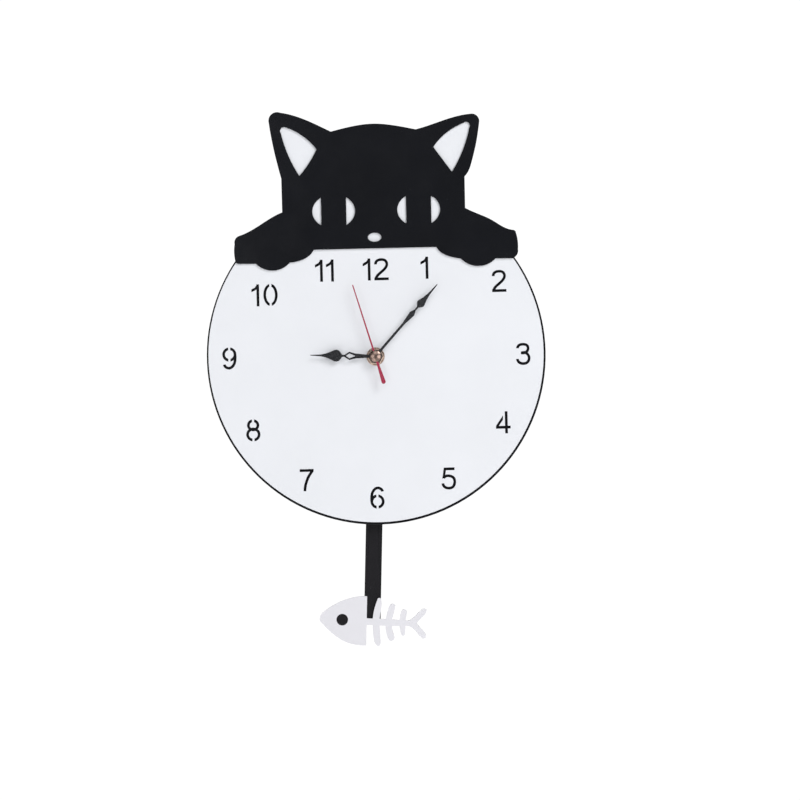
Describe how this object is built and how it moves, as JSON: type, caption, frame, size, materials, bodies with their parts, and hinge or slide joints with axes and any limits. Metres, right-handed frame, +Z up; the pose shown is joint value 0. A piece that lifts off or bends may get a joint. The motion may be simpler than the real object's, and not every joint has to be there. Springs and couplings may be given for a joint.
{
  "type": "cat tail wall clock",
  "caption": "Round wall clock with a cat leaning over the top of the dial, geared hands and a fish-bone pendulum that swings below.",
  "frame": {"origin": "on the hand axis, in the wall plane at the back face of the movement", "axes": "+X to the right of someone reading the dial, +Y out of the back towards the wall, +Z up past twelve"},
  "size_m": [0.25, 0.0334, 0.3959],
  "materials": {
    "black_acrylic": "smooth black acrylic sheet with a soft sheen",
    "white_acrylic": "smooth cool-white acrylic sheet",
    "case_plastic": "fine-grained black moulding",
    "frame_plastic": "natural white acetal moulding",
    "gear_plastic": "natural acetal gears",
    "brass": "turned and polished brass",
    "steel": "bright steel",
    "magnet": "nickel-plated magnet",
    "rubber": "black rubber washer",
    "hand_black": "dark grey painted stamped metal with fine raised dots",
    "hand_red": "crimson painted stamped metal",
    "copper_wire": "enamelled copper winding",
    "board": "green solder-masked circuit board",
    "epoxy": "black potting resin",
    "battery_skin": "printed metal battery jacket, no lettering"
  },
  "bodies": {
    "clock": {"backing_disc": "black_acrylic", "cat_plate": "black_acrylic", "dial_plate": "white_acrylic", "left_ear_panel": "white_acrylic", "right_ear_panel": "white_acrylic", "movement_case": "case_plastic", "movement_cover": "case_plastic", "middle_plate": "frame_plastic", "drive_bobbin": "frame_plastic", "centre_bush": "brass", "dial_washer": "brass", "fixing_nut": "brass", "hanger_plate": "steel", "motor_stator": "steel", "coil_core": "steel", "pivot_pin": "steel", "positive_contact": "steel", "negative_contact": "steel", "quartz_crystal": "steel", "rubber_gasket": "rubber", "motor_coil": "copper_wire", "drive_coil": "copper_wire", "circuit_board": "board", "chip_cover": "epoxy", "cover_screws": "steel"},
    "battery": {"battery": "battery_skin"},
    "seconds": {"seconds_wheel": "gear_plastic", "seconds_arbor": "steel", "second_hand": "hand_red", "second_hand_cap": "brass"},
    "fifth": {"fifth_wheel": "gear_plastic", "fifth_arbor": "steel"},
    "rotor": {"rotor_pinion": "gear_plastic", "rotor_magnet": "magnet", "rotor_arbor": "steel"},
    "third": {"third_wheel": "gear_plastic", "third_arbor": "steel"},
    "minute": {"minute_wheel": "gear_plastic", "minute_hand": "hand_black"},
    "motion": {"motion_wheel": "gear_plastic", "setting_arbor": "steel", "setting_knob": "frame_plastic"},
    "hour": {"hour_wheel": "gear_plastic", "hour_hand": "hand_black"},
    "pendulum": {"pendulum_arm": "frame_plastic", "drive_magnet": "magnet", "pendulum_rod": "black_acrylic", "fish_bone": "white_acrylic", "fish_eye": "black_acrylic"}
  },
  "joints": [
    {"name": "seconds_spin", "type": "hinge", "parent": "clock", "child": "seconds", "pos_m": [0, -0.008, 0], "axis": [0, 1, 0], "continuous": true},
    {"name": "minute_spin", "type": "hinge", "parent": "clock", "child": "minute", "pos_m": [0, -0.008, 0], "axis": [0, 1, 0], "continuous": true},
    {"name": "hour_spin", "type": "hinge", "parent": "clock", "child": "hour", "pos_m": [0, -0.008, 0], "axis": [0, 1, 0], "continuous": true},
    {"name": "third_spin", "type": "hinge", "parent": "clock", "child": "third", "pos_m": [-0.0108, -0.008, 0], "axis": [0, 1, 0], "continuous": true},
    {"name": "fifth_spin", "type": "hinge", "parent": "clock", "child": "fifth", "pos_m": [-0.00146, -0.008, 0.00827], "axis": [0, 1, 0], "continuous": true},
    {"name": "rotor_spin", "type": "hinge", "parent": "clock", "child": "rotor", "pos_m": [0, -0.008, 0.01654], "axis": [0, 1, 0], "continuous": true},
    {"name": "setting_spin", "type": "hinge", "parent": "clock", "child": "motion", "pos_m": [0, -0.008, -0.0115], "axis": [0, 1, 0], "continuous": true},
    {"name": "pendulum_swing", "type": "hinge", "parent": "clock", "child": "pendulum", "pos_m": [0, -0.0095, -0.031], "axis": [0, 1, 0], "range_deg": [-12.5, 7.5]},
    {"name": "battery_slide", "type": "slide", "parent": "clock", "child": "battery", "axis": [0, 1, 0], "range_m": [0, 0.04]}
  ],
  "couplings": [
    {"joint": "fifth_spin", "follows": "seconds_spin", "ratio": -5},
    {"joint": "rotor_spin", "follows": "seconds_spin", "ratio": 30},
    {"joint": "third_spin", "follows": "seconds_spin", "ratio": -0.125},
    {"joint": "minute_spin", "follows": "seconds_spin", "ratio": 0.016667},
    {"joint": "setting_spin", "follows": "seconds_spin", "ratio": -0.0055556},
    {"joint": "hour_spin", "follows": "seconds_spin", "ratio": 0.0013889}
  ]
}
